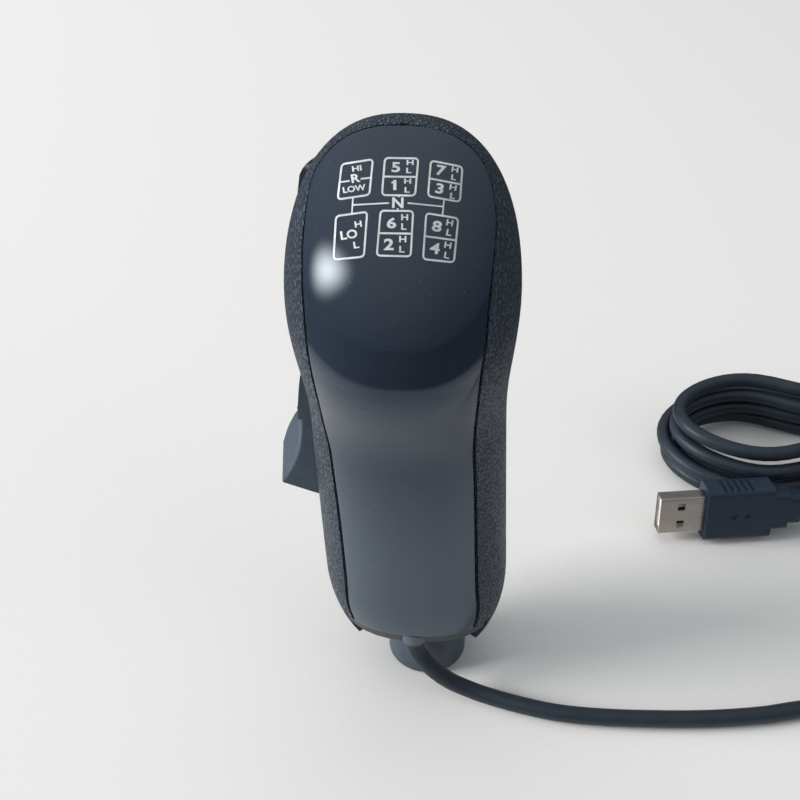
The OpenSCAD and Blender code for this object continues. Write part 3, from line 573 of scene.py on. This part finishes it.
def leather():
    """Black plastic pebbled like leather: edges of cells under a millimetre wide, bent by a noise
    and drawn out along one diagonal, sink as creases; a fine noise roughens the pebbles.
    The colour is painted darker toward the creases, as painted shade."""
    material, add, join = node_maker("leather_grain")
    coord = add("TexCoord")
    diagonal = {"Rotation": (-1.10, 0.0, 0.0), "Scale": (1.0, 1.0, 2.2)}
    turn = add("Mapping", diagonal, vector_type="TEXTURE")
    warp = add("TexNoise", {"Scale": 900, "Detail": 2})
    shift = add("VectorMath", {1: (0.0004, 0.0004, 0.0004)}, operation="MULTIPLY_ADD")
    cells = add("TexVoronoi", {"Scale": 1220}, feature="DISTANCE_TO_EDGE")
    # Depth of the creases: it sinks the bump, sets the roughness and paints the creases darker as shade.
    crease_and_shade = add("MapRange", {"From Max": 0.24}, interpolation_type="SMOOTHSTEP")
    fine = add("TexNoise", {"Scale": 4200})
    height = add("Math", {1: 0.12}, operation="MULTIPLY_ADD")
    bump = add("Bump", {"Strength": 1.0, "Distance": 0.00052})
    # Painted shade: the colour darkens toward the creases.
    tone = ramp(add("ValToRGB"), (0, (0.020, 0.027, 0.039)), (1, (0.062, 0.079, 0.108)))
    worn = add("MapRange", {"To Min": 0.60, "To Max": 0.40})
    shader = add("BsdfPrincipled", {"Specular Tint": COOL})
    out = add("OutputMaterial")
    join(coord, "Object", turn, "Vector")
    join(coord, "Object", warp, "Vector")
    join(warp, "Color", shift, 0)
    join(turn, "Vector", shift, 2)
    join(shift, "Vector", cells, "Vector")
    join(cells, "Distance", crease_and_shade, "Value")
    join(coord, "Object", fine, "Vector")
    join(fine, "Fac", height, 0)
    join(crease_and_shade, "Result", height, 2)
    join(height, "Value", bump, "Height")
    join(crease_and_shade, "Result", tone, "Fac")
    join(crease_and_shade, "Result", worn, "Value")
    join(tone, "Color", shader, "Base Color")
    join(worn, "Result", shader, "Roughness")
    join(bump, "Normal", shader, "Normal")
    join(shader, "BSDF", out, "Surface")
    return material


WALL = 2.4
GROOVE = 0.6
SHELL_COLUMNS = 190
RIM = 15.5
SILL = 24.3
SILL_DEPTH = -9.4
SILL_STEP = 0.02
LEVER_WINDOW = ([-60, -4.6, 57.3], [-14, 13.6, 98.9])
rows = np.sort(np.concatenate([body_rows(RIM, TOP), [SILL - SILL_STEP, SILL + SILL_STEP]]))[:, None]
right_depth = np.where(rows < SILL, SILL_DEPTH, part_depth(PART_RIGHT, rows))
left_depth = np.where(rows < SILL, SILL_DEPTH, part_depth(PART_LEFT, rows))
start = part_angle(rows, right_depth, 0)
finish = np.pi - part_angle(rows, left_depth, 0)
shell = plate("leather_shell", rows, start, finish, SHELL_COLUMNS, (0, WALL), leather())
cut(shell, box("lever_window", *LEVER_WINDOW))
SEAT = Vector((-25.987, 18, 130))
SEAT_YAW = np.radians(-30)
SEAT_PITCH = np.radians(-79)
ROCKER_WINDOW = ([-9.2, -6.3, -12], [9.2, 6.3, 9])
PIN_WINDOW = ([-3.4, -8.7, -12], [3.4, 8.7, -3.4])
seat_turn = Matrix.Rotation(SEAT_YAW, 3, "Z") @ Matrix.Rotation(SEAT_PITCH, 3, "Y")
for low, high in (ROCKER_WINDOW, PIN_WINDOW):
    seat_box = box("rocker_window", low, high)
    seat_box.data.transform(Matrix.Translation(SEAT * MM) @ seat_turn.to_4x4())
    cut(shell, seat_box)
smooth(shell)
soften(shell, width=0.45, segments=3, sharp=50)
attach(shell, "knob")
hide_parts("grip_shell")


# Rear panel
# A polished black panel hooked into the shell along the parting line and screwed from below.
# Its edge is rounded, and a fine groove parts it from the pebbled shell.
POLISHED = 0.05
HANDLED = 0.27


def gloss_black():
    """Polished black plastic: a slow noise waves the surface by a few microns, and a sparse fine noise
    leaves specks of dust that are paler and rougher. Hands have worn it below the head, where by
    height it gets rougher. There its colour is painted paler, a painted glow for the light the
    rougher surface catches, and the tint of its reflection is painted dimmer and bluer, dimmest just
    below the polished head, as painted shade."""
    material, add, join = node_maker("piano_black")
    coord = add("TexCoord")
    place = add("SeparateXYZ")
    wave = add("TexNoise", {"Scale": 90, "Detail": 2})
    bump = add("Bump", {"Strength": 0.25, "Distance": 0.00004})
    dust = add("TexNoise", {"Scale": 2600, "Detail": 1})
    speck = add("MapRange", {"From Min": 0.74, "From Max": 0.80})
    tone = ramp(add("ValToRGB"), (0, (0.0, 0.0, 0.0)), (1, (0.06, 0.065, 0.065)))
    # Painted glow: the base colour turns paler below the head.
    painted_glow_below_head = add("MapRange", {"From Min": 0.106, "From Max": 0.050}, interpolation_type="SMOOTHSTEP")
    body = ramp(add("ValToRGB"), (0, (0.021, 0.029, 0.044)), (1, (0.052, 0.066, 0.086)))
    dusty = add("VectorMath", operation="ADD")
    # Hand wear by height sets the roughness; the same mask paints the reflection's tint dimmer as shade.
    wear_and_dimming = add("MapRange", {"From Min": 0.117, "From Max": 0.105}, interpolation_type="SMOOTHSTEP")
    wear_and_dimming.inputs["To Min"].default_value = POLISHED
    wear_and_dimming.inputs["To Max"].default_value = HANDLED
    # Painted shade on the reflection: its tint is full on the polished head, dimmest just below it and
    # cooler lower down.
    sheen_dimming = ramp(
        add("ValToRGB"),
        (POLISHED, (0.84, 0.93, 1.0)),
        (0.12, (0.38, 0.51, 0.70)),
        (HANDLED, (0.56, 0.71, 0.90)),
    )
    polish = add("Math", {1: 0.3}, operation="MULTIPLY_ADD")
    shader = add("BsdfPrincipled", {"IOR": 1.55})
    out = add("OutputMaterial")
    join(coord, "Object", wave, "Vector")
    join(wave, "Fac", bump, "Height")
    join(coord, "Object", dust, "Vector")
    join(dust, "Fac", speck, "Value")
    join(speck, "Result", tone, "Fac")
    join(coord, "Object", place, 0)
    join(place, "Z", wear_and_dimming, "Value")
    join(speck, "Result", polish, 0)
    join(wear_and_dimming, "Result", polish, 2)
    join(place, "Z", painted_glow_below_head, "Value")
    join(painted_glow_below_head, "Result", body, "Fac")
    join(wear_and_dimming, "Result", sheen_dimming, "Fac")
    join(sheen_dimming, "Color", shader, "Specular Tint")
    join(tone, "Color", dusty, 0)
    join(body, "Color", dusty, 1)
    join(dusty, "Vector", shader, "Base Color")
    join(polish, "Value", shader, "Roughness")
    join(bump, "Normal", shader, "Normal")
    join(shader, "BSDF", out, "Surface")
    return material


PANEL_LOW = 24.5
PANEL_HIGH = 140
PANEL_COLUMNS = 160
fine_z = np.linspace(PANEL_HIGH, TOP, 9001)
rear_edge = body_law(fine_z, 0)[1]
panel_top = fine_z[np.argmax(part_depth(PART_RIGHT, fine_z) - GROOVE < rear_edge)]
rows = body_rows(PANEL_LOW, panel_top)[:, None]
start = part_angle(rows, part_depth(PART_RIGHT, rows) - GROOVE, 0)
finish = -np.pi - part_angle(rows, part_depth(PART_LEFT, rows) - GROOVE, 0)
panel = plate("gloss_panel", rows, start, finish, PANEL_COLUMNS, (0, WALL), gloss_black())
soften(panel, width=0.9, segments=5, sharp=50)
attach(panel, "knob")
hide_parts("rear_panel")

# The panel's hooks lie behind the groove as a lip under the shell's edge, so that no light gets through.
LIP_LOW = 27
LIP_HIGH = 134
LIP_HALF = 1.6
LIP_INSETS = (2.55, 3.15)
LIP_COLUMNS = 7
rows = np.linspace(LIP_LOW, LIP_HIGH, GRIP_ROWS)[:, None]
for name, points in (("panel_lip_right", PART_RIGHT), ("panel_lip_left", PART_LEFT)):
    middle = part_depth(points, rows) - GROOVE / 2
    start = part_angle(rows, middle - LIP_HALF, 0)
    finish = part_angle(rows, middle + LIP_HALF, 0)
    if points is PART_LEFT:
        start = -np.pi - start
        finish = -np.pi - finish
    lip = plate(name, rows, start, finish, LIP_COLUMNS, LIP_INSETS, moulded)
    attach(lip, "knob")


# Shift pattern
# Silver print on the dome of the panel: six framed squares with gear numbers round a neutral line.
# It is laid out flat, in millimetres from its middle, and thrown onto the panel along lines of sight.
PRINT_LIFT = 0.05
VIEW = np.array([-0.053, 0.759, -0.649])
RIGHT = np.array([0.998, 0.07, 0.0])
UP = np.cross(RIGHT, VIEW)
PRINT_AT = np.array([-6.74, -9.37, 142.82])
EYE = np.array(camera.location) / MM
SIGHT = (-40.0, 25.0)
HALVINGS = 60


def on_panel(flat):
    """Points of the flat layout thrown onto the body's skin along the lines of sight.
    Halving the interval sixty times finds where the body's power equation crosses one."""
    base = PRINT_AT + flat[:, :1] * RIGHT + flat[:, 1:2] * UP
    sight = base - EYE
    sight = sight / np.linalg.norm(sight, axis=1)[:, None]
    near = np.full(len(flat), SIGHT[0])
    far = np.full(len(flat), SIGHT[1])
    for step in range(HALVINGS):
        middle = (near + far) / 2
        p = base + middle[:, None] * sight
        half, rear, front, wide, lean = body_law(p[:, 2], -PRINT_LIFT)
        reach = np.where(p[:, 1] > wide, front - wide, wide - rear)
        value = np.abs((p[:, 0] - lean) / np.maximum(half, 1e-6)) ** POWER
        value = value + np.abs((p[:, 1] - wide) / np.maximum(reach, 1e-6)) ** POWER
        inside = (value < 1) & (p[:, 2] < TOP + PRINT_LIFT)
        far = np.where(inside, middle, far)
        near = np.where(inside, near, middle)
    return base + ((near + far) / 2)[:, None] * sight


def ribbon(path, width, closed):
    """A flat line of one width along a path: each point moved half the width to either side."""
    p = np.asarray(path, float)
    if closed:
        t = np.roll(p, -1, 0) - np.roll(p, 1, 0)
    else:
        t = np.gradient(p, axis=0)
    t = t / np.linalg.norm(t, axis=1)[:, None]
    n = np.stack([-t[:, 1], t[:, 0]], -1) * width / 2
    count = len(p)
    index = np.arange(count if closed else count - 1)
    after = (index + 1) % count
    faces = np.stack([index, after, after + count, index + count], -1)
    return np.concatenate([p - n, p + n]), faces


def frame_path(corners, radius):
    """A closed four-cornered outline with each corner turned on a quarter of a bend."""
    c = np.asarray(corners, float)
    t = np.linspace(0, 1, 6)[:, None]
    pieces = []
    for k in range(4):
        here = c[k]
        back = (c[k - 1] - here) / np.linalg.norm(c[k - 1] - here)
        ahead = (c[(k + 1) % 4] - here) / np.linalg.norm(c[(k + 1) % 4] - here)
        a = here + back * radius
        b = here + ahead * radius
        bend = (1 - t) ** 2 * a + 2 * t * (1 - t) * here + t**2 * b
        following = c[(k + 1) % 4] - ahead * radius
        side_t = np.linspace(0, 1, 8)[1:-1, None]
        pieces.append(bend)
        pieces.append(b + (following - b) * side_t)
    return np.concatenate(pieces)


CAPITAL = 1.42
BOLD = 0.045


def letters(text, at, height, wide, turn):
    """Flat points and faces of a short text of a given capital height, made wider by a factor,
    set bold by moving its outline out, centred at a place and turned."""
    curve = bpy.data.curves.new("letters", "FONT")
    curve.body = text
    curve.size = height * CAPITAL
    curve.offset = height * BOLD
    curve.resolution_u = 4
    obj = bpy.data.objects.new("letters", curve)
    scene.collection.objects.link(obj)
    bpy.context.view_layer.update()
    mesh = bpy.data.meshes.new_from_object(obj.evaluated_get(bpy.context.evaluated_depsgraph_get()))
    flat = points_of(mesh)[:, :2]
    flat = (flat - (flat.min(0) + flat.max(0)) / 2) * [wide, 1]
    faces = [list(f.vertices) for f in mesh.polygons]
    bpy.data.objects.remove(obj)
    c = np.cos(np.radians(turn))
    s = np.sin(np.radians(turn))
    return flat @ np.array([[c, s], [-s, c]]) + np.asarray(at, float), faces


PRINT_LINE = 0.36
RULE_LINE = 0.28
FRAME_BEND = 0.75
print_points = []
print_faces = []


def put(points, faces):
    """Adds one flat shape to the print."""
    base = sum(len(p) for p in print_points)
    print_points.append(points)
    print_faces.extend([[int(i) + base for i in face] for face in faces])


BOXES = [
    [[-10.65, 6.55], [-4.95, 7.45], [-5.6, 0.95], [-11.4, 0.1]],
    [[-2.75, 7.7], [3.35, 7.6], [2.75, 0.8], [-3.3, 0.9]],
    [[5.65, 7.2], [11.4, 6.05], [10.95, -0.35], [5.1, 0.7]],
    [[-11.7, -2.95], [-6.0, -2.15], [-6.6, -10.35], [-12.15, -10.9]],
    [[-3.55, -1.95], [2.4, -2.0], [1.95, -10.3], [-4.25, -10.15]],
    [[4.8, -2.4], [10.65, -3.35], [9.85, -11.4], [4.2, -10.8]],
]
for corners in BOXES:
    put(*ribbon(frame_path(corners, FRAME_BEND), PRINT_LINE, True))
for k in (1, 2, 4, 5):
    c = np.asarray(BOXES[k])
    left = (c[0] + c[3]) / 2
    right = (c[1] + c[2]) / 2
    put(*ribbon(left + (right - left) * np.linspace(0, 1, 9)[:, None], PRINT_LINE, False))
LABELS = [
    ["HI", -7.9, 5.8, 0.95, 1.45], ["R", -8.1, 4.0, 1.5, 1.25], ["LOW", -8.35, 2.1, 1.05, 1.2],
    ["5", -0.75, 6.0, 1.75, 1.4], ["H", 1.85, 6.85, 0.9, 1.6], ["L", 1.6, 5.4, 0.95, 1.5],
    ["1", -0.95, 2.75, 1.75, 1.4], ["H", 1.4, 3.45, 0.9, 1.6], ["L", 1.3, 1.85, 0.95, 1.5],
    ["7", 7.5, 5.4, 1.75, 1.4], ["H", 10.05, 5.55, 0.9, 1.5], ["L", 9.8, 4.15, 0.95, 1.4],
    ["3", 7.25, 2.1, 1.75, 1.4], ["H", 9.7, 2.3, 0.95, 1.5], ["L", 9.6, 0.75, 1.0, 1.4],
    ["LO", -9.35, -6.3, 1.5, 1.15], ["H", -7.65, -4.4, 1.05, 1.35], ["L", -8.0, -8.2, 1.15, 1.35],
    ["6", -1.55, -4.2, 1.8, 1.4], ["H", 0.85, -3.15, 1.05, 1.35], ["L", 0.7, -4.85, 1.12, 1.3],
    ["2", -2.05, -8.1, 2.0, 1.3], ["H", 0.5, -7.15, 1.08, 1.35], ["L", 0.35, -9.0, 1.15, 1.3],
    ["8", 6.75, -4.8, 1.85, 1.35], ["H", 9.1, -4.15, 1.05, 1.3], ["L", 8.95, -5.95, 1.12, 1.3],
    ["4", 6.4, -8.8, 1.9, 1.3], ["H", 8.75, -8.25, 1.08, 1.3], ["L", 8.55, -10.1, 1.12, 1.3],
    ["N", -0.4, -0.5, 1.85, 1.15],
]
COLUMN = 5
LEFT_TURN = 8.5
MIDDLE_TURN = -1
RIGHT_TURN = -10
for text, x, y, height, wide in LABELS:
    turn = MIDDLE_TURN
    if x < -COLUMN:
        turn = LEFT_TURN
    elif x > COLUMN:
        turn = RIGHT_TURN
    put(*letters(text, (x, y), height, wide, turn))
RULES = [
    [[-11.0, 3.25], [-9.2, 3.5]], [[-7.2, 3.85], [-5.3, 4.1]],
    [[-8.6, -0.9], [-2.0, -0.55]], [[1.4, -0.55], [7.9, -1.2]],
    [[-8.6, 0.5], [-8.8, -2.5]], [[8.05, 0.1], [7.75, -2.9]],
    [[-0.25, 0.9], [-0.25, 0.5]], [[-0.4, -1.5], [-0.45, -1.95]],
    [[-1.55, 3.1], [-0.95, 3.5]],
]
for a, b in RULES:
    put(*ribbon(np.linspace(a, b, 12), RULE_LINE, False))
silver = grained("silver_print", (0.62, 0.64, 0.66), 0.42, 5200, 0.00001)
pattern = new_object("shift_pattern", on_panel(np.concatenate(print_points)), print_faces)
pattern.data.materials.append(silver)
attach(pattern, "knob")

# Grommet and inner lead
# A rubber grommet seals the lead's way out of the frame's plate, behind the collar.
rubber = grained("grommet_rubber", (0.095, 0.110, 0.135), 0.60, 3800, 0.00002)
soft_copy("cable_grommet", "lead_grommet", "knob", rubber, 0.4)
jacket = grained("cord_jacket", (0.014, 0.019, 0.028), 0.46, 3000, 0.000018)
paint("inner_lead", jacket)

# Lead
# A round PVC lead runs from the grommet along the table to a hank of five turns and on to the plug.
# It is one drawn cord, so it is one tube here, along the same route as the solids.
CORD = 4.4
CORD_SIDES = 16
HANK_C = np.array([121.5, 79.5])
HANK_HALF = (50.0, 26.5)
HANK_STEP = (5.6, 6.4)
HANK_LAYER = 5.0
HANK_LOW = 3.0
HANK_TURNS = 5
HANK_FROM = -56
WAIST_IN = 10
WAIST_LONG = 18
WIND = 0.875
CLIMB = 0.5
STAGE = WIND + CLIMB
LAST_STAGE = 3
TURN_POINTS = 72
SOLID_TURN_POINTS = 24


def hank_line(q):
    """The hank's line at q turns: an oval drawn in at its waist by a bell curve.
    Each stage winds 0.875 turn inward or outward in one layer, then climbs half a turn."""
    angle = np.radians(HANK_FROM) - 2 * np.pi * q
    stage = np.minimum(np.floor(q / STAGE + 0.0001), LAST_STAGE)
    share = np.clip((q - STAGE * stage) / WIND, 0, 1)
    wound = np.where(stage % 2 == 0, WIND * share, WIND * (1 - share))
    climb = np.clip((q - STAGE * stage - WIND) / CLIMB, 0, 1)
    layer = np.where(stage == LAST_STAGE, LAST_STAGE, stage + climb)
    x = (HANK_HALF[0] - HANK_STEP[0] * wound) * np.cos(angle)
    waist = WAIST_IN * np.exp(-((x / WAIST_LONG) ** 2))
    y = (HANK_HALF[1] - HANK_STEP[1] * wound - waist) * np.sin(angle)
    return np.stack([HANK_C[0] + x, HANK_C[1] + y, HANK_LOW + HANK_LAYER * layer], -1)


hank = hank_line(np.linspace(0, HANK_TURNS, TURN_POINTS * HANK_TURNS + 1))
coarse = hank_line(np.linspace(0, HANK_TURNS, SOLID_TURN_POINTS * HANK_TURNS + 1))
into = (coarse[1] - coarse[0]) * [1, 1, 0]
into = into / np.linalg.norm(into)
away = (coarse[-1] - coarse[-2]) * [1, 1, 0]
away = away / np.linalg.norm(away)
hank_start = coarse[0] - CORD * into
hank_end = coarse[-1] + CORD * away
PLUG_TIP = np.array([65.9, 45.0, 8.868])
PLUG_YAW = 8.6
PLUG_LONG = 46.8
plug_dir = np.array([np.cos(np.radians(PLUG_YAW)), np.sin(np.radians(PLUG_YAW)), 0])
plug_end = PLUG_TIP + PLUG_LONG * plug_dir
route = [
    [-2.8, -13.6, 20.4], [-2.8, -13.6, 17.9], [-1.8, -14.2, 14.6], [0.4, -14.9, 11.4],
    [3.4, -15.5, 8.2], [7, -15.9, 5.4], [11.5, -16.4, 3.3], [17, -17.6, 2.3],
    [26, -19.8, 2.2], [36, -21.4, 2.2], [50, -21.7, 2.2], [70, -20.6, 2.2],
    [86, -18.4, 2.2], [97, -15.8, 2.2], [114, -12.5, 2.2], [132, -9, 2.2],
    [152, -3, 2.2], [170, 7, 2.2], [182, 21, 2.2], [185, 36, 2.2], [180, 49, 2.2],
    list(hank_start - 16 * into - [0, 2.4, 0.5]), list(hank_start - CORD * into), list(hank_start),
]
tail = [
    list(hank_end), list(hank_end + CORD * away), [134.5, 58.3, 17], [127.5, 56.8, 13.6],
    [121.5, 54.4, 10.2], list(plug_end + CORD * plug_dir), list(plug_end),
]
first = smooth_through(route, np.linspace(0, len(route) - 1, 5 * (len(route) - 1) + 1))
last = smooth_through(tail, np.linspace(0, len(tail) - 1, 6 * (len(tail) - 1) + 1))
line = np.concatenate([first, hank, last])
GUIDE_TURN = 24


def tube(name, line, radius, sides, material):
    """A closed tube along a line: rings at right angles to it, set by a guide direction that turns
    from depth to height over the first rings, and a flat cap at each end."""
    step = np.gradient(line, axis=0)
    step = step / np.linalg.norm(step, axis=1)[:, None]
    share = np.clip(np.arange(len(line)) / GUIDE_TURN, 0, 1)[:, None]
    guide = (1 - share) * [0, 1, 0] + share * [0, 0, 1]
    across = np.cross(step, guide)
    across = across / np.linalg.norm(across, axis=1)[:, None]
    upward = np.cross(across, step)
    turn = np.linspace(0, 2 * np.pi, sides, endpoint=False)[None, :, None]
    rings = line[:, None] + radius * (np.cos(turn) * across[:, None] + np.sin(turn) * upward[:, None])
    index = np.arange(len(line) * sides).reshape(len(line), sides)
    around = np.roll(index, -1, 1)
    quads = np.stack([index[:-1], around[:-1], around[1:], index[1:]], -1).reshape(-1, 4).tolist()
    quads.append(index[0, ::-1].tolist())
    quads.append(index[-1].tolist())
    obj = new_object(name, rings, quads)
    work = bmesh.new()
    work.from_mesh(obj.data)
    bmesh.ops.recalc_face_normals(work, faces=work.faces)
    work.to_mesh(obj.data)
    work.free()
    smooth(obj)
    obj.data.materials.append(material)
    return obj


lead = tube("usb_lead", line, CORD / 2, CORD_SIDES, jacket)
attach(lead, "knob")
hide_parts("usb_cable", "cable_hank", "plug_lead")

# Cable tie
# A nylon strap holds the hank at its waist, with its lock on top.
nylon = grained("tie_nylon", (0.030, 0.031, 0.034), 0.42, 3600, 0.00002)
tie = soft_copy("cable_tie", "hank_tie", "knob", nylon, 0.25, 2)

# USB plug
# A plated steel shell round a white tongue with gold contacts, in a grained overmould.
# The overmould steps down to a short sleeve that eases the bend of the lead.
grip_black = grained("plug_overmould", (0.010, 0.019, 0.037), 0.44, 4200, 0.00003)
plated = grained("plated_shell", (0.40, 0.36, 0.33), 0.28, 2400, 0.00001, 1.0, (0.25, 1, 1))
white = grained("white_nylon", (0.82, 0.82, 0.80), 0.42, 4200, 0.00001)
gold = grained("gold_contact", (0.80, 0.62, 0.25), 0.24, 3000, 0.00001, 1.0)
overmould = soft_copy("usb_overmould", "plug_overmould", "knob", grip_black, 0.35)
shell_metal = soft_copy("usb_shell", "plug_shell", "knob", plated, 0.12, 2)
paint("usb_tongue", white)
paint("usb_contacts", gold)
